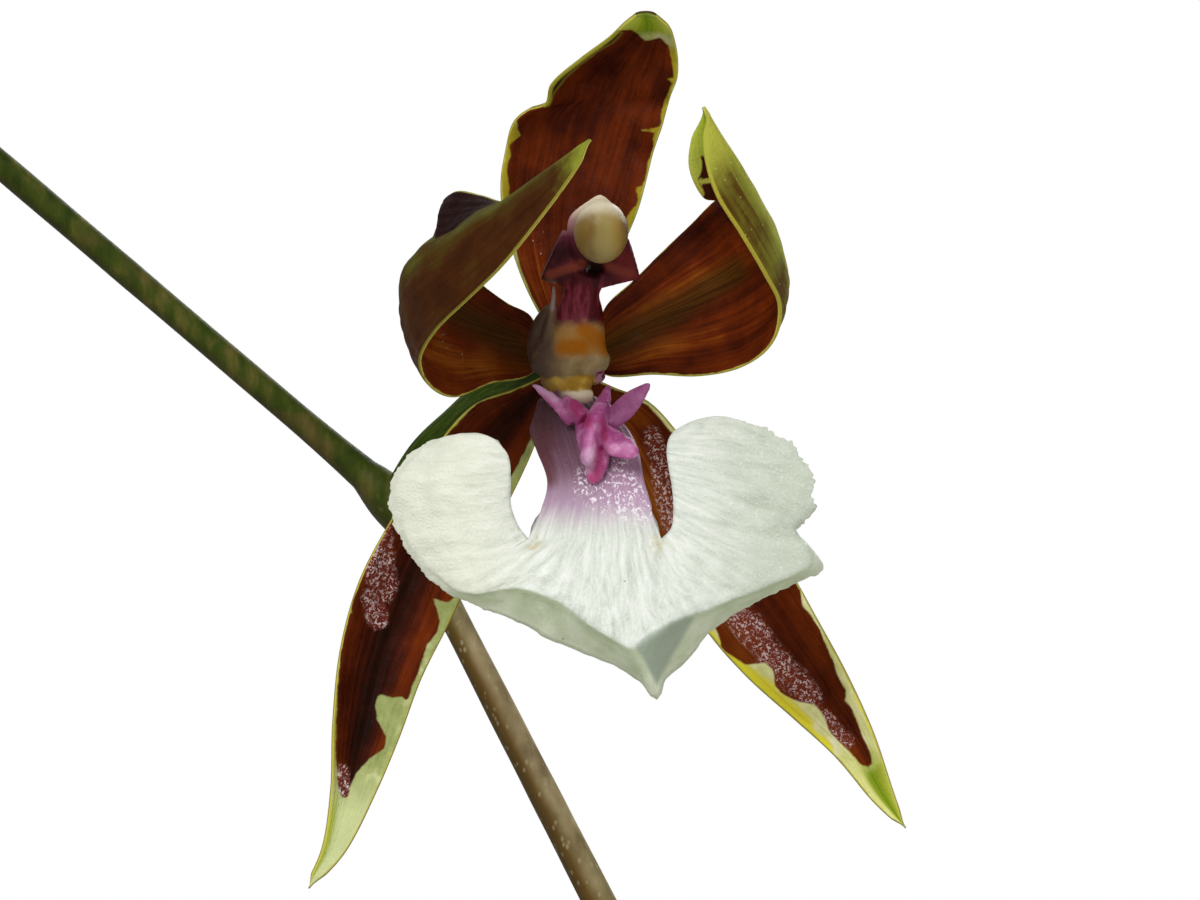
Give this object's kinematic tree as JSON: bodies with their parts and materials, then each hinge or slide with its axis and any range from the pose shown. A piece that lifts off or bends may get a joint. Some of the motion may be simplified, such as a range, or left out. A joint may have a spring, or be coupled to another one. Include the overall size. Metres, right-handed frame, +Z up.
{
  "type": "potted orchid",
  "caption": "Potted orchid with flattened pseudobulbs, strap leaves and a zigzag spike of brown and white flowers with a magenta crest, in a plain clay pot of bark.",
  "frame": {"origin": "middle of the pot's flat foot", "axes": "+Z up, -Y the way the flowers look, +X to the right of whoever looks at them"},
  "size_m": [0.2833, 0.2547, 0.4108],
  "materials": {
    "clay": "matte",
    "bark": "matte",
    "root": "matte",
    "bulb": "satin",
    "husk": "matte",
    "leaf": "satin",
    "stem": "satin",
    "tepal": "satin",
    "lip": "satin",
    "crest": "satin",
    "column": "satin",
    "cap": "gloss",
    "bud": "satin"
  },
  "bodies": {
    "root": {"pot": "clay", "bark_mix": "bark", "rhizome_roots": "root", "pseudobulb_1": "bulb", "pseudobulb_2": "bulb", "pseudobulb_3": "bulb", "sheath_1_left": "husk", "sheath_1_right": "husk", "sheath_2_left": "husk", "sheath_2_right": "husk", "sheath_3_left": "husk", "sheath_3_right": "husk", "leaf_1": "leaf", "leaf_2": "leaf", "leaf_3": "leaf", "leaf_4": "leaf", "leaf_5": "leaf", "leaf_6": "leaf", "sheath_leaf_1": "leaf", "sheath_leaf_2": "leaf", "flower_spike": "stem", "dorsal_sepal": "tepal", "petal_left": "tepal", "petal_right": "tepal", "lateral_sepal_left": "tepal", "lateral_sepal_right": "tepal", "lip": "lip", "lip_crest": "crest", "column": "column", "anther_cap": "cap", "bloom_2_tepals": "tepal", "bloom_2_lip": "lip", "bloom_2_column": "column", "bloom_3_tepals": "tepal", "bloom_3_lip": "lip", "bloom_3_column": "column", "bud_1": "bud", "bud_2": "bud", "bud_3": "bud", "bud_4": "bud"}
  },
  "joints": []
}
